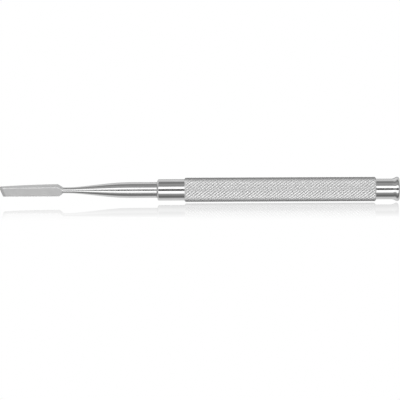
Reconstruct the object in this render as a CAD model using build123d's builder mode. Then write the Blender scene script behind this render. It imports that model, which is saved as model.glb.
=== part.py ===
from build123d import *

import os

# A cuticle pusher with a hollow handle, in millimetres.
#
# The tool lies along X. The skewed blade points along -X and the flared end along +X. The blade stands on
# edge: its width runs along Z, its flat front face looks along -Y, and its back face tapers towards the tip.
# The origin is on the tool's axis, at the middle of the grip.
#
# Blade, neck, shank and tang are one forging. The tang sits in the bore of a turned collar. The collar and
# the end cap are plugs that stand in the two ends of the grip tube. Solder holds all three joints.

# ---------------------------------------------------------------- driving dimensions

# Lengths along the axis, from the tip of the blade to the flared end: 165 in all.
WORKING_LENGTH = 65.3  # blade tip to the collar's front face
COLLAR_EXPOSED = 11.1
GRIP_LENGTH = 78.9
TAIL_EXPOSED = 9.7

# Radii of the turned parts.
GRIP_RADIUS = 5.0
COLLAR_RADIUS = 4.4
TAIL_RADIUS = 4.25
FLARE_RADIUS = 5.0
SHANK_RADIUS = 3.25
NECK_RADIUS = 1.2
TANG_RADIUS = 2.0
BORE_RADIUS = 3.8  # inside of the grip tube, and outside of both plugs

# The blade, measured back from its leading corner.
BLADE_WIDTH_TIP = 4.2
BLADE_WIDTH_ROOT = 4.6
BLADE_LENGTH = 24.1
BLADE_THICKNESS_TIP = 1.4
BLADE_THICKNESS_ROOT = 2.5
SKEW_OFFSET = 1.45  # how far the lower corner of the end stands behind the leading one
BACK_BEVEL = (0.8, 0.4)  # run along the blade, and drop at the edge
HEEL_RADIUS = 0.3
FRONT_EDGE_RADIUS = 0.4
UPPER_SHOULDER_RUN = 2.4
LOWER_SHOULDER_DELAY = 0.55  # the lower shoulder starts this much behind the upper one
LOWER_SHOULDER_RUN = 1.6
NECK_BLEND_RADIUS = 1.2
NECK_CLEARANCE = 0.05  # the upper flat stops this far outside the neck, inside the blend
BLANK_ALLOWANCE = 0.05  # metal round the blade's corners before its sides are cut
CLEAR = 5.0  # how far a cutting outline runs past the metal it removes

# The neck widens to the shank along a slim cone that is rounded into both.
CONE_START = 30.6
CONE_END = 49.4
CONE_START_RADIUS = 46.0
CONE_END_RADIUS = 88.0

# Plugs, solder and edges.
TANG_LENGTH = 20.0
COLLAR_SPIGOT = 12.0
CAP_SPIGOT = 10.0
SOLDER_LEG = 0.4
FILLET_LEG = 0.5
GRIP_CHAMFER = 0.5
COLLAR_CHAMFER = 0.35
SPIGOT_CHAMFER = 0.5
FLARE_RUN = 1.5
FLARE_BLEND_RADIUS = 2.5
RIM_LENGTH = 1.3
RIM_ROUND = 0.6
RIM_END_ROUND = 0.9

# ---------------------------------------------------------------- places worked out from them

grip_front = -GRIP_LENGTH / 2
grip_rear = GRIP_LENGTH / 2
collar_front = grip_front - COLLAR_EXPOSED
collar_rear = grip_front + COLLAR_SPIGOT
tail_end = grip_rear + TAIL_EXPOSED
tip = collar_front - WORKING_LENGTH

blade_root = tip + BLADE_LENGTH
lower_shoulder = blade_root + LOWER_SHOULDER_DELAY
neck_start = lower_shoulder + LOWER_SHOULDER_RUN
blade_half_diagonal = ((BLADE_WIDTH_ROOT / 2) ** 2 + (BLADE_THICKNESS_ROOT / 2) ** 2) ** 0.5
blank_radius = blade_half_diagonal + BLANK_ALLOWANCE

os.makedirs("parts", exist_ok=True)


def save(part, name):
    """Labels a finished piece and writes it as its own STEP file."""
    part.label = name
    export_step(part, f"parts/{name}.step")


def corner_of(outline, point):
    """The outline's vertex at a (station, radius) point."""
    return outline.vertices().sort_by_distance((*point, 0))[0]


def turn(points, rounds=(), chamfers=()):
    """Revolves an outline of (station, radius) points about the axis, inside the part being built.

    rounds and chamfers hold (index of the point, size), for the corners that aren't sharp.
    """
    with BuildSketch() as outline:
        with BuildLine():
            Polyline(*points, close=True)
        make_face()
        # Each rounding remakes the outline, so the next corner is looked up again.
        for index, radius in rounds:
            fillet(corner_of(outline, points[index]), radius)
        for index, length in chamfers:
            chamfer(corner_of(outline, points[index]), length)
    revolve(outline.sketch, axis=Axis.X)


def cut_along(plane, points):
    """Removes an outline on the given plane, all the way through the part being built."""
    with BuildSketch(plane) as outline:
        with BuildLine():
            Polyline(*points, close=True)
        make_face()
    extrude(outline.sketch, amount=2 * CLEAR, both=True, mode=Mode.SUBTRACT)


# ---------------------------------------------------------------- blade, neck, shank and tang

with BuildPart() as blade_shank:
    # The turned blank, with its tang.
    turn(
        [
            (tip, 0),
            (tip, blank_radius),
            (lower_shoulder, blank_radius),
            (neck_start, NECK_RADIUS),
            (tip + CONE_START, NECK_RADIUS),
            (tip + CONE_END, SHANK_RADIUS),
            (collar_front, SHANK_RADIUS),
            (collar_front, TANG_RADIUS),
            (collar_front + TANG_LENGTH, TANG_RADIUS),
            (collar_front + TANG_LENGTH, 0),
        ],
        rounds=[(3, NECK_BLEND_RADIUS), (4, CONE_START_RADIUS), (5, CONE_END_RADIUS)],
        chamfers=[(8, SPIGOT_CHAMFER)],
    )
    # Front flat, seen from above: x along the tool, y through the thickness.
    run_out = neck_start + NECK_BLEND_RADIUS
    half_root = BLADE_THICKNESS_ROOT / 2
    cut_along(
        Plane.XY,
        [
            (tip, -half_root),
            (run_out, -half_root),
            (run_out, -CLEAR),
            (tip, -CLEAR),
        ],
    )
    # The back is flat at the root and curves gently forwards to the tip.
    with BuildSketch():
        with BuildLine():
            back_at_tip = (tip, BLADE_THICKNESS_TIP - half_root)
            back_at_root = (blade_root, half_root)
            TangentArc(back_at_root, back_at_tip, tangent=(-1, 0))
            Polyline(back_at_tip, (tip, CLEAR), (run_out, CLEAR), (run_out, half_root), back_at_root)
        make_face()
    extrude(amount=2 * CLEAR, both=True, mode=Mode.SUBTRACT)
    # Upper and lower edges, seen from the front: x along the tool, z across the blade.
    front_view = Plane((0, 0, 0), x_dir=(1, 0, 0), z_dir=(0, -1, 0))
    cut_along(
        front_view,
        [
            (tip, BLADE_WIDTH_TIP - BLADE_WIDTH_ROOT / 2),
            (blade_root, BLADE_WIDTH_ROOT / 2),
            (blade_root + UPPER_SHOULDER_RUN, NECK_RADIUS + NECK_CLEARANCE),
            (run_out, NECK_RADIUS + NECK_CLEARANCE),
            (run_out, CLEAR),
            (tip, CLEAR),
        ],
    )
    cut_along(
        front_view,
        [
            (tip, -BLADE_WIDTH_ROOT / 2),
            (neck_start, -BLADE_WIDTH_ROOT / 2),
            (neck_start, -CLEAR),
            (tip, -CLEAR),
        ],
    )
    # The skewed end, with its heel rounded.
    leading_corner = (tip, BLADE_WIDTH_TIP - BLADE_WIDTH_ROOT / 2)
    heel_corner = (tip + SKEW_OFFSET, -BLADE_WIDTH_ROOT / 2)
    skew = (heel_corner[0] - leading_corner[0], heel_corner[1] - leading_corner[1])
    cut_along(
        front_view,
        [
            (leading_corner[0] - skew[0], leading_corner[1] - skew[1]),
            (heel_corner[0] + skew[0], heel_corner[1] + skew[1]),
            (tip - CLEAR, heel_corner[1] + skew[1]),
            (tip - CLEAR, leading_corner[1] - skew[1]),
        ],
    )
    cross_edges = blade_shank.edges().filter_by(Axis.Y)
    fillet(cross_edges.sort_by_distance((heel_corner[0], 0, heel_corner[1]))[0], HEEL_RADIUS)
    # The edge of the front flat is rounded, along both sides and across the end.
    front_flat = blade_shank.faces().filter_by(Axis.Y).sort_by(Axis.Y)[0]
    fillet(front_flat.edges().filter_by(lambda edge: edge.center().X < blade_root), FRONT_EDGE_RADIUS)
    # A bevel on the back of the end. On this plane x runs back from the skewed edge, square to it.
    across_edge = Plane(
        (leading_corner[0], 0, leading_corner[1]),
        x_dir=(-skew[1], 0, skew[0]),
        z_dir=(-skew[0], 0, -skew[1]),
    )
    bevel_run, bevel_drop = BACK_BEVEL
    end_back = BLADE_THICKNESS_TIP - half_root
    cut_along(
        across_edge,
        [
            (-bevel_run, end_back - 2 * bevel_drop),
            (2 * bevel_run, end_back + bevel_drop),
            (-bevel_run, end_back + bevel_drop),
        ],
    )

save(blade_shank.part, "blade_shank")

# ---------------------------------------------------------------- solder fillet round the shank's foot

with BuildPart() as shank_solder_fillet:
    with BuildSketch():
        with BuildLine():
            foot = (collar_front, SHANK_RADIUS)
            top = (collar_front, SHANK_RADIUS + FILLET_LEG)
            toe = (collar_front - FILLET_LEG, SHANK_RADIUS)
            Polyline(toe, foot, top)
            RadiusArc(top, toe, -FILLET_LEG)
        make_face()
    revolve(axis=Axis.X)

save(shank_solder_fillet.part, "shank_solder_fillet")

# ---------------------------------------------------------------- collar, the front plug

with BuildPart() as front_collar:
    turn(
        [
            (collar_front, TANG_RADIUS),
            (collar_front, COLLAR_RADIUS),
            (grip_front, COLLAR_RADIUS),
            (grip_front, BORE_RADIUS),
            (collar_rear, BORE_RADIUS),
            (collar_rear, TANG_RADIUS),
        ],
        chamfers=[(1, COLLAR_CHAMFER), (4, SPIGOT_CHAMFER)],
    )

save(front_collar.part, "front_collar")

# ---------------------------------------------------------------- grip tube

with BuildPart() as grip_tube:
    turn(
        [
            (grip_front, BORE_RADIUS),
            (grip_front, GRIP_RADIUS),
            (grip_rear, GRIP_RADIUS),
            (grip_rear, BORE_RADIUS),
        ],
        chamfers=[(0, SOLDER_LEG), (1, GRIP_CHAMFER), (2, GRIP_CHAMFER), (3, SOLDER_LEG)],
    )

save(grip_tube.part, "grip_tube")

# ---------------------------------------------------------------- end cap, the rear plug

with BuildPart() as end_cap:
    rim_start = tail_end - RIM_LENGTH
    turn(
        [
            (grip_rear - CAP_SPIGOT, 0),
            (grip_rear - CAP_SPIGOT, BORE_RADIUS),
            (grip_rear, BORE_RADIUS),
            (grip_rear, TAIL_RADIUS),
            (rim_start - FLARE_RUN, TAIL_RADIUS),
            (rim_start, FLARE_RADIUS),
            (tail_end, FLARE_RADIUS),
            (tail_end, 0),
        ],
        rounds=[(4, FLARE_BLEND_RADIUS), (5, RIM_ROUND), (6, RIM_END_ROUND)],
        chamfers=[(1, SPIGOT_CHAMFER)],
    )

save(end_cap.part, "end_cap")

# ---------------------------------------------------------------- solder rings in the mouths of the tube's bore

for name, mouth, inward in (
    ("front_solder_ring", grip_front, 1),
    ("rear_solder_ring", grip_rear, -1),
):
    with BuildPart() as solder_ring:
        turn(
            [
                (mouth, BORE_RADIUS),
                (mouth, BORE_RADIUS + SOLDER_LEG),
                (mouth + inward * SOLDER_LEG, BORE_RADIUS),
            ]
        )
    save(solder_ring.part, name)
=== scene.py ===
"""A steel cuticle pusher on glossy white acrylic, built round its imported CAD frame.

The tool lies along X with its blade towards -X. Sizes are in millimetres until a mesh is made.
"""

import math

import bmesh
import bpy
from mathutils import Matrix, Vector


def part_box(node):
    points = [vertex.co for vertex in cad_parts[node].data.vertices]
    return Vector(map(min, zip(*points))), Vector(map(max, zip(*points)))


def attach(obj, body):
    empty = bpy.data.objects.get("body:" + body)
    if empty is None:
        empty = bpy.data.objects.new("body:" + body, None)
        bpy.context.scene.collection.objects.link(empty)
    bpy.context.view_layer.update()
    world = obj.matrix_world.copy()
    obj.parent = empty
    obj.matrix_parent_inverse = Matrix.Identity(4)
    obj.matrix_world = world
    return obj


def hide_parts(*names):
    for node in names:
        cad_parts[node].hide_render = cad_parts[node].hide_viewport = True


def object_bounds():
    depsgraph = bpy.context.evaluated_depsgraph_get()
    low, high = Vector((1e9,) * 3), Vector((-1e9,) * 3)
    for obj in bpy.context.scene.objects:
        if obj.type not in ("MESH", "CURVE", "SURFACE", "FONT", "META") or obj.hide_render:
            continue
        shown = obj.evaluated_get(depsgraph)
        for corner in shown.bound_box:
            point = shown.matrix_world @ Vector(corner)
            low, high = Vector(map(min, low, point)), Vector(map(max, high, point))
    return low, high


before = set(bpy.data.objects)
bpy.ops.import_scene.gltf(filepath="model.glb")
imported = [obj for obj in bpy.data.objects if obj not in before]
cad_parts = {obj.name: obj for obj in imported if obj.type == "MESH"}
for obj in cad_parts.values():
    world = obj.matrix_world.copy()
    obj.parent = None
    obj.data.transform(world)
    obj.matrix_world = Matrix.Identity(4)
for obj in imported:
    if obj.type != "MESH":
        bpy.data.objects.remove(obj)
cad_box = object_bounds()

MM = 0.001


def corners_mm(node):
    """Lowest and highest corner of a CAD node, in millimetres."""
    low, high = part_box(node)
    return low / MM, high / MM


# ---------------------------------------------------------------- sizes

blade_low, blade_high = corners_mm("blade_shank")
collar_low, collar_high = corners_mm("front_collar")
grip_low, grip_high = corners_mm("grip_tube")
cap_low, cap_high = corners_mm("end_cap")
fillet_low, fillet_high = corners_mm("shank_solder_fillet")

tip = blade_low.x
tang_end = blade_high.x
collar_front = collar_low.x
collar_rear = collar_high.x
grip_front = grip_low.x
grip_rear = grip_high.x
cap_front = cap_low.x
tail_end = cap_high.x

grip_radius = grip_high.z
collar_radius = collar_high.z
flare_radius = cap_high.z
shank_radius = blade_high.z
BORE_RADIUS = 3.8
TANG_RADIUS = 2.0
TAIL_RADIUS = 4.25
NECK_RADIUS = 1.2

# The blade, measured back from its leading corner.
BLADE_WIDTH_TIP = 4.2
BLADE_WIDTH_ROOT = 4.6
BLADE_LENGTH = 24.1
BLADE_THICKNESS_TIP = 1.4
BLADE_THICKNESS_ROOT = 2.5
SKEW_OFFSET = 1.45
SKEW_FADE = 7.0  # over this length the cross-sections turn from skewed to square
BACK_BEVEL_RUN = 0.8
BACK_BEVEL_DROP = 0.4
HEEL_RADIUS = 0.3
FRONT_EDGE_RADIUS = 0.4
BACK_EDGE_RADIUS = 0.12
UPPER_SHOULDER_RUN = 2.4
LOWER_SHOULDER_DELAY = 0.55
LOWER_SHOULDER_RUN = 1.6
NECK_START = BLADE_LENGTH + LOWER_SHOULDER_DELAY + LOWER_SHOULDER_RUN
CONE_START = 30.6
CONE_END = 49.4
LEADING_HEIGHT = BLADE_WIDTH_TIP - BLADE_WIDTH_ROOT / 2  # of the leading corner above the axis
ROUND_FROM = NECK_START + 0.3  # from here on the cross-section is a circle
UPPER_SHOULDER_ROUNDS = (0.9, 1.2)  # where the shoulder leaves the blade, and where it meets the neck
LOWER_SHOULDER_ROUNDS = (0.5, 1.0)
CONE_BLENDS = (46.0, 88.0)  # between neck and cone, and between cone and shank

# Edges of the turned parts.
COLLAR_CHAMFER = 0.35
COLLAR_SOFTENING = 0.25  # the radius behind that chamfer
GRIP_CHAMFER = 0.5
SPIGOT_CHAMFER = 0.5
SOLDER_LEG = 0.4
FLARE_RUN = 1.5
FLARE_BLEND_RADIUS = 2.5
RIM_LENGTH = 1.3
RIM_ROUND = 0.6
RIM_END_ROUND = 0.9
EDGE_BREAK = 0.06  # the small radius on the chamfers' corners

# The knurl: two hands of grooves that cross. On the front, which looks along -Y, the rising ones climb
# towards +X and the falling ones climb towards -X.
KNURL_STARTS = 23
KNURL_PITCH = 1.59  # along the axis, from groove to groove of one hand
RISING_DEPTH = 0.28
FALLING_DEPTH = 0.17
RISING_HALF_WIDTH = 0.45  # as a share of the pitch, so that a narrow land is left between two grooves
FALLING_HALF_WIDTH = 0.34

SEGMENTS = 144  # round a turned part
ARC_STEP = math.radians(9)
ARC_HOLD = 0.05  # how far beyond an arc its extra point stands
FILLET_STEPS = 8
TOUCHING = 1e-3  # points nearer than this are taken as one

# ---------------------------------------------------------------- outlines


def rounded(points):
    """Turns (x, y, radius) corners into a list of (x, y), with an arc at each corner that has a radius.

    Two extra points beside each arc keep its shading off the straight stretches.
    """
    outline = []
    for index, (x, y, radius) in enumerate(points):
        corner = Vector((x, y))
        if radius == 0:
            outline.append(corner)
            continue
        to_last = (Vector(points[index - 1][:2]) - corner).normalized()
        to_next = (Vector(points[(index + 1) % len(points)][:2]) - corner).normalized()
        opening = to_last.angle(to_next)
        sweep = math.pi - opening
        cut = radius / math.tan(opening / 2)
        middle = corner + (to_last + to_next).normalized() * radius / math.sin(opening / 2)
        first = corner + to_last * cut - middle
        last = corner + to_next * cut - middle
        hold = min(radius / 4, ARC_HOLD)
        steps = max(2, math.ceil(sweep / ARC_STEP))
        outline.append(middle + first + to_last * hold)
        for step in range(steps + 1):
            share = step / steps
            arm = first * math.sin((1 - share) * sweep) + last * math.sin(share * sweep)
            outline.append(middle + arm / math.sin(sweep))
        outline.append(middle + last + to_next * hold)
    return outline


def height_at(outline, x):
    """The height of an outline that runs in order of x, at one x."""
    if x <= outline[0][0]:
        return outline[0][1]
    for (x0, y0), (x1, y1) in zip(outline, outline[1:]):
        if x <= x1:
            return y0 + (y1 - y0) * (x - x0) / (x1 - x0) if x1 > x0 else y1
    return outline[-1][1]


def smooth_share(value, start, end):
    """0 before start, 1 after end, and a smooth rise between."""
    share = min(1.0, max(0.0, (value - start) / (end - start)))
    return share * share * (3 - 2 * share)


# ---------------------------------------------------------------- meshes


def finish_mesh(mesh, name, sharp_angle=None):
    """Makes an object of a bmesh whose sizes are in millimetres.

    With sharp_angle it is shaded smooth, except over edges that turn by more degrees than that.
    """
    bmesh.ops.scale(mesh, vec=(MM, MM, MM), verts=mesh.verts)
    bmesh.ops.recalc_face_normals(mesh, faces=mesh.faces)
    data = bpy.data.meshes.new(name)
    mesh.to_mesh(data)
    mesh.free()
    if sharp_angle is not None:
        data.shade_smooth()
        data.set_sharp_from_angle(angle=math.radians(sharp_angle))
    piece = bpy.data.objects.new(name, data)
    bpy.context.scene.collection.objects.link(piece)
    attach(piece, "root")
    return piece


def ring(mesh, x, radius):
    """One circle of vertices about the axis, or a single vertex on it."""
    if radius == 0:
        return [mesh.verts.new((x, 0, 0))]
    angles = [2 * math.pi * k / SEGMENTS for k in range(SEGMENTS)]
    return [mesh.verts.new((x, -radius * math.cos(angle), radius * math.sin(angle))) for angle in angles]


def join_rings(mesh, first, second):
    """Faces between two neighbouring rings of the same count, either of which may be a single vertex."""
    count = max(len(first), len(second))
    for k in range(count):
        following = (k + 1) % count
        if len(first) == 1:
            mesh.faces.new((first[0], second[k], second[following]))
        elif len(second) == 1:
            mesh.faces.new((first[k], first[following], second[0]))
        else:
            mesh.faces.new((first[k], first[following], second[following], second[k]))


def turned(name, corners, closed=False):
    """Revolves an outline of (x, radius of the part, radius of the corner).

    A closed outline leaves a bore.
    """
    mesh = bmesh.new()
    rings = [ring(mesh, x, radius) for x, radius in rounded(corners)]
    for first, second in zip(rings, rings[1:]):
        join_rings(mesh, first, second)
    if closed:
        join_rings(mesh, rings[-1], rings[0])
    return finish_mesh(mesh, name, sharp_angle=30)


# ---------------------------------------------------------------- blade, neck, shank and tang

CORNER_STEPS = 12  # along each rounded corner of a cross-section
SIDE_STEPS = 8  # and along each side
BEVEL_MARGIN = 0.04  # from the bevel's inner edge to the cross-section on either side of it
BLADE_STEP = 1.0  # between cross-sections
BLADE_SECTIONS = 22
BLADE_LEAD = 1.5  # from the tip to the first of them
SHOULDER_STEP = 0.15
SHOULDER_SECTIONS = 28
CONE_STEP = 0.8
SHOULDER_LEAD = 0.6  # how far before the shoulders the closer cross-sections begin
CONE_LEAD = 2.6  # and how far before the cone its own begin

# Outlines of the working end, as heights over the distance from the tip.
UPPER_EDGE = rounded(
    [
        (0, LEADING_HEIGHT, 0),
        (BLADE_LENGTH, BLADE_WIDTH_ROOT / 2, UPPER_SHOULDER_ROUNDS[0]),
        (BLADE_LENGTH + UPPER_SHOULDER_RUN, NECK_RADIUS, UPPER_SHOULDER_ROUNDS[1]),
        (CONE_START, NECK_RADIUS, 0),
    ]
)
LOWER_EDGE = rounded(
    [
        (0, BLADE_WIDTH_ROOT / 2, 0),
        (BLADE_LENGTH + LOWER_SHOULDER_DELAY, BLADE_WIDTH_ROOT / 2, LOWER_SHOULDER_ROUNDS[0]),
        (NECK_START, NECK_RADIUS, LOWER_SHOULDER_ROUNDS[1]),
        (CONE_START, NECK_RADIUS, 0),
    ]
)
ROUND_PART = rounded(
    [
        (0, NECK_RADIUS, 0),
        (CONE_START, NECK_RADIUS, CONE_BLENDS[0]),
        (CONE_END, shank_radius, CONE_BLENDS[1]),
        (collar_front - tip, shank_radius, 0),
    ]
)
back_drop = BLADE_THICKNESS_ROOT - BLADE_THICKNESS_TIP
BACK_ARC_RADIUS = (BLADE_LENGTH**2 + back_drop**2) / (2 * back_drop)


def back_face(distance):
    """Where the back face lies: flat at the root, and curving gently forwards to the tip."""
    ahead = max(0.0, BLADE_LENGTH - distance)
    bevel = BACK_BEVEL_DROP * max(0.0, 1 - distance / BACK_BEVEL_RUN)
    curve = BACK_ARC_RADIUS - math.sqrt(BACK_ARC_RADIUS**2 - ahead**2)
    return BLADE_THICKNESS_ROOT / 2 - curve - bevel


def set_back(distance, radius):
    """How far a rounded end edge stands behind its face."""
    if distance >= radius:
        return 0.0
    return radius - math.sqrt(radius**2 - (radius - distance) ** 2)


def corner_point(share, y, z, radius, quarter):
    """A point on one rounded corner of a section.

    quarter counts the corners from the upper front one, over the top.
    """
    angle = math.radians(90 * (quarter + share))
    middle_y = y + radius if quarter in (0, 3) else y - radius
    middle_z = z - radius if quarter in (0, 1) else z + radius
    return middle_y - radius * math.cos(angle), middle_z + radius * math.sin(angle)


def section_points(front, back, upper, lower, radii):
    """Points round a rectangle with four rounded corners, always the same number in the same order."""
    corners = [
        (front, upper, radii[0], 0),
        (back, upper, radii[1], 1),
        (back, lower, radii[2], 2),
        (front, lower, radii[3], 3),
    ]
    points = []
    for index, corner in enumerate(corners):
        for step in range(CORNER_STEPS + 1):
            points.append(corner_point(step / CORNER_STEPS, *corner))
        start = points[-1]
        end = corner_point(0, *corners[(index + 1) % 4])
        for step in range(1, SIDE_STEPS):
            share = step / SIDE_STEPS
            points.append((start[0] + (end[0] - start[0]) * share, start[1] + (end[1] - start[1]) * share))
    return points


def working_section(mesh, distance):
    """One cross-section of the working end, at a distance from the tip.

    Through the shoulders its four corners grow rounder, until it is a circle.
    """
    upper = height_at(UPPER_EDGE, distance) - set_back(distance, BACK_EDGE_RADIUS)
    lower = -height_at(LOWER_EDGE, distance) + set_back(distance, HEEL_RADIUS)
    radius = height_at(ROUND_PART, distance)
    top_share = smooth_share(distance, BLADE_LENGTH, ROUND_FROM)
    low_share = smooth_share(distance, BLADE_LENGTH + LOWER_SHOULDER_DELAY, ROUND_FROM)
    front = -BLADE_THICKNESS_ROOT / 2 + set_back(distance, FRONT_EDGE_RADIUS)
    front += (-radius - front) * low_share
    back = back_face(distance)
    back += (radius - back) * low_share
    if low_share == 1:
        upper, lower = radius, -radius
    radii = [
        start + (radius - start) * share
        for start, share in (
            (FRONT_EDGE_RADIUS, top_share),
            (BACK_EDGE_RADIUS, top_share),
            (BACK_EDGE_RADIUS, low_share),
            (FRONT_EDGE_RADIUS, low_share),
        )
    ]
    skewed = 1 - smooth_share(distance, 0, SKEW_FADE)
    section = []
    for y, z in section_points(front, back, upper, lower, radii):
        behind = SKEW_OFFSET * skewed * (upper - z) / (upper - lower)
        section.append(mesh.verts.new((tip + distance + behind, y, z)))
    return section


def working_stations():
    """Distances from the tip at which the working end gets a cross-section.

    The blade's run up to the shoulders, and the shoulders' closer ones run to just behind ROUND_FROM.
    """
    near_end = [FRONT_EDGE_RADIUS * (1 - math.cos(math.radians(angle))) for angle in range(0, 91, 15)]
    bevel = [0.6, BACK_BEVEL_RUN - BEVEL_MARGIN, BACK_BEVEL_RUN, BACK_BEVEL_RUN + BEVEL_MARGIN]
    blade = [BLADE_LEAD + BLADE_STEP * k for k in range(BLADE_SECTIONS)]
    shoulder = [BLADE_LENGTH - SHOULDER_LEAD + SHOULDER_STEP * k for k in range(SHOULDER_SECTIONS)]
    shank_length = collar_front - tip
    cone_count = int((shank_length - CONE_START + CONE_LEAD) / CONE_STEP)
    cone = [CONE_START - CONE_LEAD + CONE_STEP * k for k in range(cone_count)]
    return sorted(near_end + bevel + blade + shoulder + cone) + [shank_length - 0.1, shank_length]


def make_working_end():
    """Blade, neck, cone and shank in one piece, with the tang that the collar hides."""
    mesh = bmesh.new()
    sections = [working_section(mesh, distance) for distance in working_stations()]
    for x, radius in (
        (collar_front, TANG_RADIUS),
        (tang_end - SPIGOT_CHAMFER, TANG_RADIUS),
        (tang_end, TANG_RADIUS - SPIGOT_CHAMFER),
    ):
        outline = section_points(-radius, radius, radius, -radius, [radius] * 4)
        sections.append([mesh.verts.new((x, y, z)) for y, z in outline])
    for first, second in zip(sections, sections[1:]):
        join_rings(mesh, first, second)
    mesh.faces.new(sections[0])
    mesh.faces.new(sections[-1])
    piece = finish_mesh(mesh, "working_end", sharp_angle=28)
    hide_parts("blade_shank")
    return piece


# ---------------------------------------------------------------- turned parts


def make_solder_fillet():
    """Solder with a hollow curve, from the shank out to the collar's front."""
    leg = fillet_high.z - shank_radius
    mesh = bmesh.new()
    rings = []
    for k in range(FILLET_STEPS + 1):
        angle = math.pi / 2 * k / FILLET_STEPS
        x = fillet_low.x + leg * math.sin(angle)
        rings.append(ring(mesh, x, shank_radius + leg * (1 - math.cos(angle))))
    rings.append(ring(mesh, collar_front, shank_radius))
    for first, second in zip(rings, rings[1:] + rings[:1]):
        join_rings(mesh, first, second)
    piece = finish_mesh(mesh, "solder_fillet", sharp_angle=40)
    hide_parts("shank_solder_fillet")
    return piece


def make_collar():
    """The plain collar, with its spigot in the grip and its bore for the tang."""
    piece = turned(
        "collar",
        [
            (collar_front, TANG_RADIUS, 0),
            (collar_front, collar_radius - COLLAR_CHAMFER, EDGE_BREAK),
            (collar_front + COLLAR_CHAMFER, collar_radius, COLLAR_SOFTENING),
            (grip_front, collar_radius, 0),
            (grip_front, BORE_RADIUS, 0),
            (collar_rear - SPIGOT_CHAMFER, BORE_RADIUS, EDGE_BREAK),
            (collar_rear, BORE_RADIUS - SPIGOT_CHAMFER, EDGE_BREAK),
            (collar_rear, TANG_RADIUS, 0),
        ],
        closed=True,
    )
    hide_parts("front_collar")
    return piece


def make_end_cap():
    """The spigot, the plain tail and the flared end."""
    rim = tail_end - RIM_LENGTH
    piece = turned(
        "flared_end",
        [
            (cap_front, 0, 0),
            (cap_front, BORE_RADIUS - SPIGOT_CHAMFER, EDGE_BREAK),
            (cap_front + SPIGOT_CHAMFER, BORE_RADIUS, EDGE_BREAK),
            (grip_rear, BORE_RADIUS, 0),
            (grip_rear, TAIL_RADIUS, 0),
            (rim - FLARE_RUN, TAIL_RADIUS, FLARE_BLEND_RADIUS),
            (rim, flare_radius, RIM_ROUND),
            (tail_end, flare_radius, RIM_END_ROUND),
            (tail_end, 0, 0),
        ],
    )
    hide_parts("end_cap")
    return piece


# ---------------------------------------------------------------- knurled grip


def groove_depth(across, depth, half_width):
    """Depth of a V groove, by the share of a pitch from the last groove's middle to the next one's."""
    from_groove = min(across, 1 - across)
    return depth * max(0.0, 1 - from_groove / half_width)


def cut_across(mesh, x, outward, drop=False):
    """New edges where the plane at x cuts a mesh. With drop, what lies outward of it goes."""
    everything = mesh.verts[:] + mesh.edges[:] + mesh.faces[:]
    bmesh.ops.bisect_plane(
        mesh, geom=everything, plane_co=(x, 0, 0), plane_no=(outward, 0, 0), clear_outer=drop
    )


def add_diamonds(mesh):
    """Adds the faces of the knurl, a little beyond both ends of the grip.

    rising and falling count the grooves of each hand. A diamond lies between two grooves of each.
    The rising grooves are the deeper ones.
    """
    shared = {}  # the corners made so far, by their place to a thousandth of a groove

    def corner(rising, falling):
        turns = (rising + falling) / (2 * KNURL_STARTS)
        x = KNURL_PITCH * (falling - rising) / 2
        key = (round(1000 * (rising + falling)) % (2000 * KNURL_STARTS), round(1000 * (falling - rising)))
        if key not in shared:
            depth = max(
                groove_depth(rising % 1, RISING_DEPTH, RISING_HALF_WIDTH),
                groove_depth(falling % 1, FALLING_DEPTH, FALLING_HALF_WIDTH),
            )
            radius = grip_radius - depth
            angle = 2 * math.pi * turns
            shared[key] = mesh.verts.new((x, -radius * math.cos(angle), radius * math.sin(angle)))
        return shared[key]

    # deep and fine are where the walls of the two grooves end, and mitre is where the floor of the shallower
    # groove meets the wall of the deeper one.
    deep, fine = RISING_HALF_WIDTH, FALLING_HALF_WIDTH
    mitre = deep * (1 - FALLING_DEPTH / RISING_DEPTH)
    diamond_faces = (
        ((deep, fine), (1 - deep, fine), (1 - deep, 1 - fine), (deep, 1 - fine)),
        ((mitre, 0), (1 - mitre, 0), (1 - deep, fine), (deep, fine)),
        ((mitre, 1), (1 - mitre, 1), (1 - deep, 1 - fine), (deep, 1 - fine)),
        ((0, 0), (mitre, 0), (deep, fine), (deep, 1 - fine), (mitre, 1), (0, 1)),
        ((1, 0), (1 - mitre, 0), (1 - deep, fine), (1 - deep, 1 - fine), (1 - mitre, 1), (1, 1)),
    )
    first_column = math.floor(2 * grip_front / KNURL_PITCH) - 1
    last_column = math.ceil(2 * grip_rear / KNURL_PITCH) + 1
    for row in range(2 * KNURL_STARTS):
        for column in range(first_column, last_column + 1):
            if (row + column) % 2:
                continue
            rising, falling = (row - column) // 2, (row + column) // 2
            for face in diamond_faces:
                mesh.faces.new([corner(rising + a, falling + b) for a, b in face])


def trim_and_chamfer(mesh):
    """Cuts the knurl to length, and draws every point beyond the chamfers' cones down to them."""
    chamfer_starts = ((grip_front + GRIP_CHAMFER, -1), (grip_rear - GRIP_CHAMFER, 1))
    for x, _ in chamfer_starts:
        cut_across(mesh, x, 1)
    for x, outward in ((grip_front, -1), (grip_rear, 1)):
        cut_across(mesh, x, outward, drop=True)
    for x, outward in chamfer_starts:
        for vertex in mesh.verts:
            into = (vertex.co.x - x) * outward
            radius = math.hypot(vertex.co.y, vertex.co.z)
            if into > 0 and radius > grip_radius - into:
                vertex.co.y *= (grip_radius - into) / radius
                vertex.co.z *= (grip_radius - into) / radius


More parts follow.
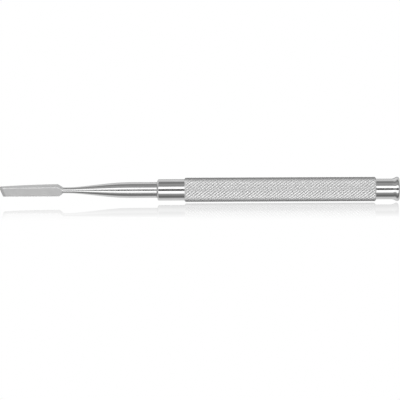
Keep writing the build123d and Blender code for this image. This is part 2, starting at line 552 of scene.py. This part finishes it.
def add_bore(mesh):
    """Adds the tube's bore, countersunk for the solder, and joins it to the outside at both mouths."""
    open_edges = [edge for edge in mesh.edges if edge.is_boundary]
    mouths = [
        [edge for edge in open_edges if abs(edge.verts[0].co.x - end) < TOUCHING]
        for end in (grip_front, grip_rear)
    ]
    bore = [
        ring(mesh, x, radius)
        for x, radius in (
            (grip_front, BORE_RADIUS + SOLDER_LEG),
            (grip_front + SOLDER_LEG, BORE_RADIUS),
            (grip_rear - SOLDER_LEG, BORE_RADIUS),
            (grip_rear, BORE_RADIUS + SOLDER_LEG),
        )
    ]
    for first, second in zip(bore, bore[1:]):
        join_rings(mesh, first, second)
    for mouth, rim in zip(mouths, (bore[0], bore[-1])):
        rim_edges = [edge for edge in mesh.edges if edge.is_boundary and set(edge.verts) <= set(rim)]
        bmesh.ops.bridge_loops(mesh, edges=mouth + rim_edges)


def make_grip():
    """A diamond knurl whose faces follow its grooves exactly, on a tube with chamfered ends."""
    mesh = bmesh.new()
    add_diamonds(mesh)
    trim_and_chamfer(mesh)
    add_bore(mesh)
    piece = finish_mesh(mesh, "knurled_grip")
    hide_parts("grip_tube")
    return piece


# ---------------------------------------------------------------- materials

# Noise keeps mostly within the core, and hardly ever leaves the span.
NOISE_CORE = (0.35, 0.65)
NOISE_SPAN = (0.3, 0.7)

# Roughness and grey value, as (where the noise is low, where it is high) if there are two.
POLISHED_ROUGHNESS = (0.07, 0.12)
POLISHED_SHADE = (0.60, 0.57)
SHANK_ROUGHNESS = (0.15, 0.19)
SHANK_SHADE = 0.6
BLADE_ROUGHNESS = (0.52, 0.58)
BLADE_EDGE_SHADE = 0.65
BLADE_FLAT_PAINTED_LIGHT = 0.12  # painted light: how much lighter its flats, which face along Y, are than its edges and its upper and lower faces
BLADE_HAZE_GAIN = 0.04
SOLDER_ROUGHNESS = (0.22, 0.36)
SOLDER_SHADE = (0.40, 0.48)
GROOVE_ROUGHNESS = 0.58
CREST_ROUGHNESS = 0.46
GROOVE_SHADE = 0.725
CREST_GAIN = 0.18  # how much lighter the knurl's crests are than its grooves: partly wear on the crests, partly painted shade in the grooves
GRAIN_GAIN = 0.06
CREST_LAND = 0.02  # down to this depth the knurl counts as crest

FLAT_FACING = (0.55, 0.98)  # how squarely a face looks along Y, at an edge and on a flat, for the flats' painted light
POLISH_DELAY = 1.2  # how far behind the shoulders' two ends the polish begins and is complete
END_STRIP = (0.7, 1.7)  # painted shade: the strip along the skewed end is darker up to here, and gone from here
END_STRIP_PAINTED_SHADE = (0.76, 1.0)

# Painted shade: the knurl's grey is darkened where it turns away from the viewer, standing in for its grooves
# shading one another.
EDGE_FACING = (0.10, 0.74)  # cosines of the angle to the viewer, where it is darkest and from where it is not
EDGE_SHADE = 0.24  # how much of its brightness is left where it is darkest


def add(tree, kind, inputs=None, **settings):
    """Adds a node, sets it up, and fills its inputs with values or with other nodes' outputs."""
    made = tree.nodes.new(kind)
    for name, value in settings.items():
        setattr(made, name, value)
    for key, value in (inputs or {}).items():
        if isinstance(value, bpy.types.NodeSocket):
            tree.links.new(value, made.inputs[key])
        else:
            made.inputs[key].default_value = value
    return made


def maths(tree, operation, first, second=0.0, third=0.0):
    """The output of a Math node."""
    return add(tree, "ShaderNodeMath", {0: first, 1: second, 2: third}, operation=operation).outputs[0]


def scaled(tree, value, ends, new_ends=(0.0, 1.0)):
    """value taken from one range to another, smoothly and without passing its ends."""
    inputs = {"Value": value, 1: ends[0], 2: ends[1], 3: new_ends[0], 4: new_ends[1]}
    return add(tree, "ShaderNodeMapRange", inputs, interpolation_type="SMOOTHSTEP").outputs[0]


def noise(tree, vector, scale, detail=2.0):
    """Noise between about 0.3 and 0.7 over a vector."""
    inputs = {"Vector": vector, "Scale": scale, "Detail": detail}
    return add(tree, "ShaderNodeTexNoise", inputs).outputs["Fac"]


def new_material(name):
    """A material with an empty tree, its output, and the object's own coordinates in millimetres."""
    material = bpy.data.materials.new(name)
    material.use_nodes = True
    tree = material.node_tree
    tree.nodes.clear()
    output = add(tree, "ShaderNodeOutputMaterial")
    place = add(tree, "ShaderNodeTexCoord").outputs["Object"]
    place = add(tree, "ShaderNodeVectorMath", {0: place, "Scale": 1 / MM}, operation="SCALE").outputs[0]
    return material, tree, output, place


def stretched(tree, place, factors):
    """Coordinates scaled by a factor along each axis."""
    return add(tree, "ShaderNodeVectorMath", {0: place, 1: factors}, operation="MULTIPLY").outputs[0]


def from_axis(tree, place):
    """The vector from the tool's axis straight out to a point, and its length."""
    outward = stretched(tree, place, (0, 1, 1))
    distance = add(tree, "ShaderNodeVectorMath", {0: outward}, operation="LENGTH").outputs["Value"]
    return outward, distance


def metal(tree, output, shade, roughness, height, depth_mm):
    """A metal with grey value shade, and with bumps of depth_mm where height goes from 0 to 1."""
    grey = add(tree, "ShaderNodeCombineColor", {"Red": shade, "Green": shade, "Blue": shade})
    bump = add(tree, "ShaderNodeBump", {"Height": height, "Distance": depth_mm * MM, "Strength": 1.0})
    inputs = {
        "Base Color": grey.outputs[0],
        "Metallic": 1.0,
        "Roughness": roughness,
        "Normal": bump.outputs[0],
    }
    surface = add(tree, "ShaderNodeBsdfPrincipled", inputs)
    tree.links.new(surface.outputs[0], output.inputs["Surface"])


def polished_material():
    """Polished turned steel: fine rings from the lathe, and a faint haze that varies."""
    material, tree, output, place = new_material("polished_steel")
    x = add(tree, "ShaderNodeSeparateXYZ", {0: place}).outputs["X"]
    _, radius = from_axis(tree, place)
    profile = add(tree, "ShaderNodeCombineXYZ", {"X": x, "Y": radius}).outputs[0]
    rings = noise(tree, profile, scale=10.0, detail=3.0)
    haze = noise(tree, place, scale=0.35)
    roughness = scaled(tree, haze, NOISE_CORE, POLISHED_ROUGHNESS)
    shade = scaled(tree, haze, NOISE_SPAN, POLISHED_SHADE)
    metal(tree, output, shade, roughness, rings, depth_mm=0.0006)
    return material


def working_end_material():
    """Satin-ground on the blade's flats, with fine lines along it, and polished from the neck on. The flats
    have painted light, and the skewed end a strip of painted shade.
    """
    material, tree, output, place = new_material("satin_steel")
    x, _, z = add(tree, "ShaderNodeSeparateXYZ", {0: place}).outputs
    polish_begins = tip + BLADE_LENGTH + POLISH_DELAY
    polish_complete = tip + NECK_START + POLISH_DELAY
    polish = scaled(tree, x, (polish_begins, polish_complete))
    lines = noise(tree, stretched(tree, place, (0.05, 1, 1)), scale=6.0)
    haze = noise(tree, place, scale=0.3)
    # Painted light: faces that look along Y, the blade's flats, are lighter than those that turn away from
    # it.
    facing = add(tree, "ShaderNodeTexCoord").outputs["Normal"]
    facing = add(tree, "ShaderNodeSeparateXYZ", {0: facing}).outputs["Y"]
    flat = scaled(tree, maths(tree, "ABSOLUTE", facing), FLAT_FACING)
    blade_shade = maths(tree, "MULTIPLY_ADD", flat, BLADE_FLAT_PAINTED_LIGHT, BLADE_EDGE_SHADE)
    blade_shade = maths(tree, "MULTIPLY_ADD", haze, BLADE_HAZE_GAIN, blade_shade)
    # Painted shade: a strip along the skewed end is darkened, in place of the darker reflection of its
    # rounded edge.
    skew = SKEW_OFFSET / BLADE_WIDTH_TIP
    from_corner = maths(tree, "SUBTRACT", x, tip + skew * LEADING_HEIGHT)
    from_end = maths(tree, "MULTIPLY_ADD", z, skew, from_corner)
    blade_shade = maths(tree, "MULTIPLY", blade_shade, scaled(tree, from_end, END_STRIP, END_STRIP_PAINTED_SHADE))
    satin = scaled(tree, haze, NOISE_SPAN, BLADE_ROUGHNESS)
    bright = scaled(tree, haze, NOISE_CORE, SHANK_ROUGHNESS)
    roughness = add(tree, "ShaderNodeMix", {"Factor": polish, 2: satin, 3: bright}).outputs[0]
    shade = add(tree, "ShaderNodeMix", {"Factor": polish, 2: blade_shade, 3: SHANK_SHADE}).outputs[0]
    # A tenth of the lines' depth is left on the polished part.
    height = maths(tree, "MULTIPLY", lines, maths(tree, "SUBTRACT", 1.1, polish))
    metal(tree, output, shade, roughness, height, depth_mm=0.003)
    return material


def knurled_material():
    """Satin steel whose crests are rubbed brighter and smoother than its grooves. The grooves' darker grey is
    partly painted shade, and the knurl has painted shade towards its outline.
    """
    material, tree, output, place = new_material("knurled_steel")
    outward, radius = from_axis(tree, place)
    crest = scaled(tree, radius, (grip_radius - RISING_DEPTH, grip_radius - CREST_LAND))
    grain = noise(tree, place, scale=9.0, detail=3.0)
    mixed = {"Factor": crest, 2: GROOVE_ROUGHNESS, 3: CREST_ROUGHNESS}
    roughness = add(tree, "ShaderNodeMix", mixed).outputs[0]
    # Crests lighter than grooves: partly wear, partly painted shade in the grooves.
    wear_and_groove_shade = maths(tree, "MULTIPLY_ADD", crest, CREST_GAIN, GROOVE_SHADE)
    shade = maths(tree, "MULTIPLY_ADD", grain, GRAIN_GAIN, wear_and_groove_shade)
    # Painted shade: the grey darkens towards the knurl's outline, as seen from the viewer.
    outward = add(tree, "ShaderNodeVectorMath", {0: outward}, operation="NORMALIZE").outputs[0]
    incoming = add(tree, "ShaderNodeNewGeometry").outputs["Incoming"]
    facing = add(tree, "ShaderNodeVectorMath", {0: outward, 1: incoming}, operation="DOT_PRODUCT")
    painted_edge_shade = scaled(tree, facing.outputs["Value"], EDGE_FACING, (EDGE_SHADE, 1.0))
    shade = maths(tree, "MULTIPLY", shade, painted_edge_shade)
    metal(tree, output, shade, roughness, grain, depth_mm=0.004)
    return material


def solder_material():
    """Silver solder that has flowed and set: softer and greyer than the steel."""
    material, tree, output, place = new_material("solder")
    flow = noise(tree, place, scale=1.4, detail=3.0)
    roughness = scaled(tree, flow, NOISE_SPAN, SOLDER_ROUGHNESS)
    shade = scaled(tree, flow, NOISE_SPAN, SOLDER_SHADE)
    metal(tree, output, shade, roughness, flow, depth_mm=0.02)
    return material


# ---------------------------------------------------------------- light, floor and camera

ELEVATION = 30.0  # of the camera, in degrees
LENS = 300.0  # millimetres, like the sensor's width
SENSOR_WIDTH = 36.0
CAMERA_ROLL = -0.25  # in degrees, which lifts the tool's right end in the picture
AIM_RIGHT = 0.0015  # from the middle of the tool, as a share of its length
AIM_BELOW = 0.0256

FLOOR_SIDE = 3.0  # in metres
FLOOR_GAP = 1.13  # from the grip down to the reflecting surface
REFLECTION = 0.43  # its strength straight under the tool
REFLECTION_REACH = 15.5  # how far before and behind the tool it fades out

# Brightness of the surroundings by the angle from the camera, about the tool's axis, from below to above.
# In front there is a dark slot where the camera stands, then a bright strip light on either side of it, then
# darker gaps. Behind there is a pale room, with one thin dark slot at 150 degrees.
SURROUNDINGS = (
    (-180, 0.70),
    (-155, 0.80),
    (-136, 0.92),
    (-118, 0.97),
    (-108, 0.88),
    (-96, 0.42),
    (-88, 0.25),
    (-78, 0.20),
    (-64, 0.34),
    (-52, 0.45),
    (-44, 0.50),
    (-37, 1.80),
    (-12.5, 1.80),
    (-10.5, 0.04),
    (7.5, 0.04),
    (9.5, 1.80),
    (31, 1.80),
    (38, 0.40),
    (46, 0.40),
    (57, 0.52),
    (71, 0.38),
    (84, 0.24),
    (90, 0.28),
    (100, 0.68),
    (113, 0.95),
    (143, 0.95),
    (147, 0.10),
    (153, 0.10),
    (157, 0.80),
    (180, 0.70),
)
LEFT_END_BRIGHTNESS = 0.80  # of the surroundings straight off the blade's end
RIGHT_END_BRIGHTNESS = 0.45  # and off the flared end
OFF_END = (0.7, 1.0)  # how far along X a direction points, where the end brightness begins and is complete
UPPER_LEFT_GLOW = 0.3  # how much brighter the upper left is, and how much darker the lower right
GLOW_STEEPNESS = 3.0  # how fast the glow changes from below to above


def seen_directly(tree):
    """1 for what the camera sees itself or in the floor's perfectly smooth reflection, otherwise 0."""
    path = add(tree, "ShaderNodeLightPath").outputs
    return maths(tree, "MAXIMUM", path["Is Camera Ray"], path["Is Singular Ray"])


def tilted(tree, first, second):
    """first times the cosine of the camera's elevation, plus second times its sine."""
    rise = math.radians(ELEVATION)
    along = maths(tree, "MULTIPLY", first, math.cos(rise))
    return maths(tree, "ADD", along, maths(tree, "MULTIPLY", second, math.sin(rise)))


def light_the_scene():
    """The studio's surroundings, as one world shader. What the camera sees of it is plain white."""
    world = bpy.data.worlds.new("studio")
    world.use_nodes = True
    bpy.context.scene.world = world
    tree = world.node_tree
    tree.nodes.clear()
    ray = add(tree, "ShaderNodeTexCoord").outputs["Generated"]
    x, y, z = add(tree, "ShaderNodeSeparateXYZ", {0: ray}).outputs
    forward = tilted(tree, maths(tree, "MULTIPLY", y, -1.0), z)
    upward = tilted(tree, z, y)
    angle = maths(tree, "ARCTAN2", upward, forward)
    share = maths(tree, "MULTIPLY_ADD", angle, 0.5 / math.pi, 0.5)
    strongest = max(level for _, level in SURROUNDINGS)
    ramp = add(tree, "ShaderNodeValToRGB", {"Fac": share})
    stops = ramp.color_ramp.elements
    while len(stops) < len(SURROUNDINGS):
        stops.new(0.5)
    for stop, (degrees, level) in zip(stops, SURROUNDINGS):
        stop.position = 0.5 + degrees / 360
        stop.color = (level / strongest,) * 3 + (1.0,)
    bands = maths(tree, "MULTIPLY", ramp.outputs["Color"], strongest)
    aside = maths(tree, "ABSOLUTE", x)
    above = maths(tree, "MULTIPLY", upward, GLOW_STEEPNESS)
    above = add(tree, "ShaderNodeClamp", {"Value": above, "Min": -1.0}).outputs[0]
    glow = maths(tree, "SUBTRACT", maths(tree, "MULTIPLY", aside, above), x)
    glow = maths(tree, "MULTIPLY_ADD", glow, UPPER_LEFT_GLOW / 2, 1.0)
    bands = maths(tree, "MULTIPLY", bands, glow)
    off_end = scaled(tree, aside, OFF_END)
    end_level = scaled(tree, x, (-1.0, 1.0), (LEFT_END_BRIGHTNESS, RIGHT_END_BRIGHTNESS))
    level = add(tree, "ShaderNodeMix", {"Factor": off_end, 2: bands, 3: end_level}).outputs[0]
    level = add(tree, "ShaderNodeMix", {"Factor": seen_directly(tree), 2: level, 3: 1.0}).outputs[0]
    background = add(tree, "ShaderNodeBackground", {"Color": (1, 1, 1, 1), "Strength": level})
    add(tree, "ShaderNodeOutputWorld", {"Surface": background.outputs[0]})


def make_floor():
    """Glossy white acrylic. Only the camera sees it, so the tool's own reflections lose nothing to it."""
    mesh = bmesh.new()
    bmesh.ops.create_grid(mesh, x_segments=1, y_segments=1, size=FLOOR_SIDE / 2)
    data = bpy.data.meshes.new("floor")
    mesh.to_mesh(data)
    mesh.free()
    floor = bpy.data.objects.new("floor", data)
    floor.location.z = -(grip_radius + FLOOR_GAP) * MM
    bpy.context.scene.collection.objects.link(floor)

    material, tree, output, place = new_material("white_acrylic")
    y = add(tree, "ShaderNodeSeparateXYZ", {0: place}).outputs["Y"]
    strength = scaled(tree, maths(tree, "ABSOLUTE", y), (0.0, REFLECTION_REACH), (REFLECTION, 0.0))
    white = add(tree, "ShaderNodeEmission", {"Color": (1, 1, 1, 1), "Strength": 1.0}).outputs[0]
    mirror = add(tree, "ShaderNodeBsdfGlossy", {"Color": (1, 1, 1, 1), "Roughness": 0.0}).outputs[0]
    seen = add(tree, "ShaderNodeMixShader", {0: strength, 1: white, 2: mirror}).outputs[0]
    clear = add(tree, "ShaderNodeBsdfTransparent").outputs[0]
    camera_ray = add(tree, "ShaderNodeLightPath").outputs["Is Camera Ray"]
    add_in = add(tree, "ShaderNodeMixShader", {0: camera_ray, 1: clear, 2: seen})
    tree.links.new(add_in.outputs[0], output.inputs["Surface"])
    data.materials.append(material)


def place_camera():
    """A long lens square to the tool. The tool fills the frame's width and lies a little above its middle."""
    low, high = cad_box
    length = high.x - low.x
    data = bpy.data.cameras.new("camera")
    data.lens = LENS
    data.sensor_width = SENSOR_WIDTH
    distance = length * LENS / SENSOR_WIDTH
    rise = math.radians(ELEVATION)
    back = Vector((0, -math.cos(rise), math.sin(rise)))
    up = Vector((0, math.sin(rise), math.cos(rise)))
    target = Vector(((low.x + high.x) / 2 + AIM_RIGHT * length, 0, 0)) - up * AIM_BELOW * length
    camera = bpy.data.objects.new("camera", data)
    camera.location = target + back * distance
    camera.rotation_euler = (math.pi / 2 - rise, 0, 0)
    camera.rotation_euler.rotate_axis("Z", math.radians(CAMERA_ROLL))
    data.clip_start = 0.01
    data.clip_end = 20.0
    bpy.context.scene.collection.objects.link(camera)
    bpy.context.scene.camera = camera


# ---------------------------------------------------------------- the scene

polished = polished_material()
solder = solder_material()

make_working_end().data.materials.append(working_end_material())
make_solder_fillet().data.materials.append(solder)
make_collar().data.materials.append(polished)
make_grip().data.materials.append(knurled_material())
make_end_cap().data.materials.append(polished)
for name in ("front_solder_ring", "rear_solder_ring"):
    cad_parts[name].data.materials.clear()
    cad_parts[name].data.materials.append(solder)

light_the_scene()
make_floor()
place_camera()
bpy.context.scene.view_settings.view_transform = "Standard"
